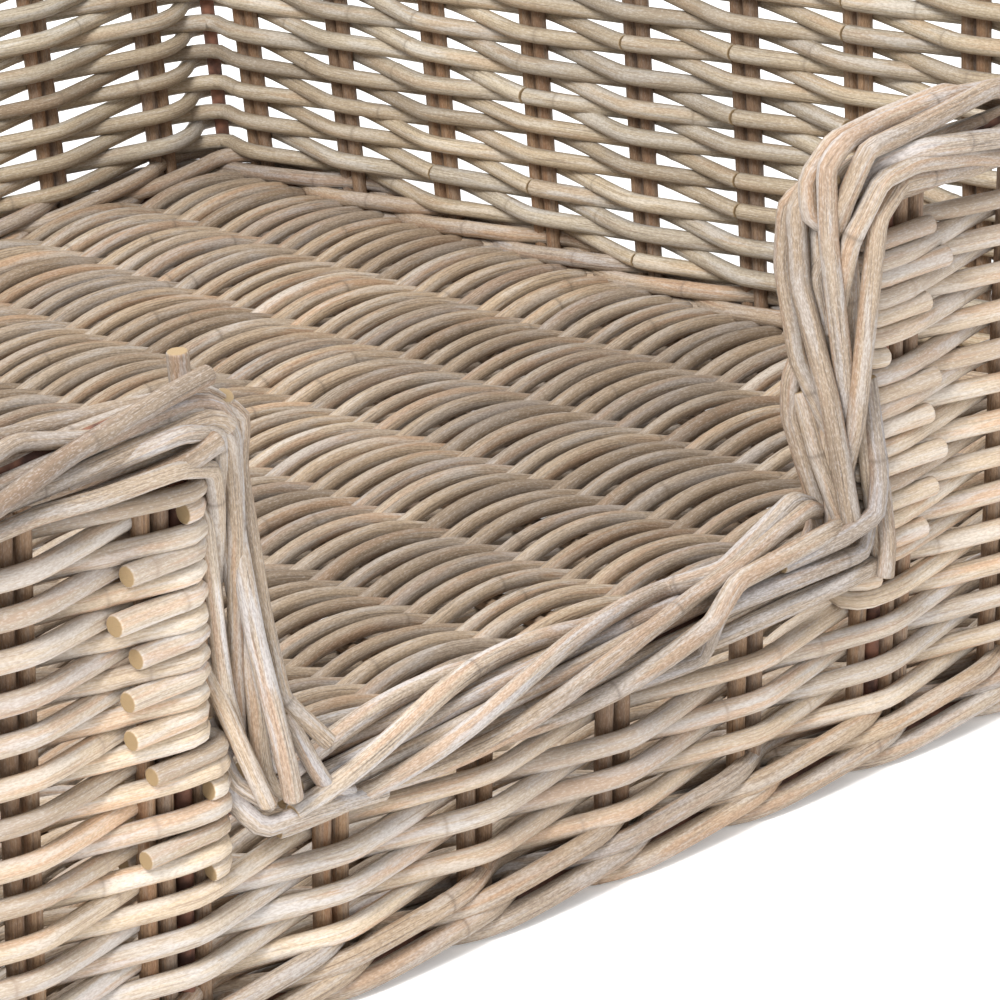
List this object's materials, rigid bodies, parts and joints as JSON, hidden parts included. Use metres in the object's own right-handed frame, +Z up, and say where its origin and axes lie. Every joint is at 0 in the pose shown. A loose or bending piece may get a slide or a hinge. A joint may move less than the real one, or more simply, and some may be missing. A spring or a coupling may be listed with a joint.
{
  "type": "wicker pet bed basket",
  "caption": "Rectangular woven rattan pet bed basket, open on top, with a stepped entrance in the front wall.",
  "frame": {"origin": "middle of the footprint, on the plane that the basket stands on", "axes": "+X along the front wall, to the right for someone who faces the entrance from outside, +Y from the front wall to the back wall, +Z up"},
  "size_m": [0.884, 0.7182, 0.226],
  "materials": {
    "steel_rod": "thin brown rust over drawn steel rod, dull",
    "floor_stake_cane": "peeled rattan pole, grey-brown, matt",
    "floor_weave_cane": "grey-tan kubu rattan cane, matt, fine lengthwise grain",
    "wale_cane": "grey-tan kubu rattan cane, matt, weathered",
    "wall_stake_cane": "peeled rattan pole, grey-brown, matt",
    "wall_weave_cane": "light beige-grey kubu rattan cane with tan patches and grey-white streaks, matt",
    "border_cane": "greyed kubu rattan cane, plaited, matt, dry"
  },
  "bodies": {
    "root": {"frame_base_ring": "steel_rod", "frame_rim_rod": "steel_rod", "frame_corner_posts": "steel_rod", "frame_entrance_posts": "steel_rod", "frame_sill_bar": "steel_rod", "floor_stakes": "floor_stake_cane", "floor_weave": "floor_weave_cane", "base_wale_front": "wale_cane", "base_wale_back": "wale_cane", "base_wale_left": "wale_cane", "base_wale_right": "wale_cane", "wall_stakes_back": "wall_stake_cane", "wall_stakes_left": "wall_stake_cane", "wall_stakes_right": "wall_stake_cane", "wall_stakes_front_left": "wall_stake_cane", "wall_stakes_front_right": "wall_stake_cane", "sill_stakes": "wall_stake_cane", "wall_weave_back": "wall_weave_cane", "wall_weave_left": "wall_weave_cane", "wall_weave_right": "wall_weave_cane", "wall_weave_front_left": "wall_weave_cane", "wall_weave_front_right": "wall_weave_cane", "sill_weave": "wall_weave_cane", "rim_back": "border_cane", "rim_left": "border_cane", "rim_right": "border_cane", "rim_front_left": "border_cane", "rim_front_right": "border_cane", "entrance_border_left": "border_cane", "entrance_border_right": "border_cane", "sill_border": "border_cane"}
  },
  "joints": []
}
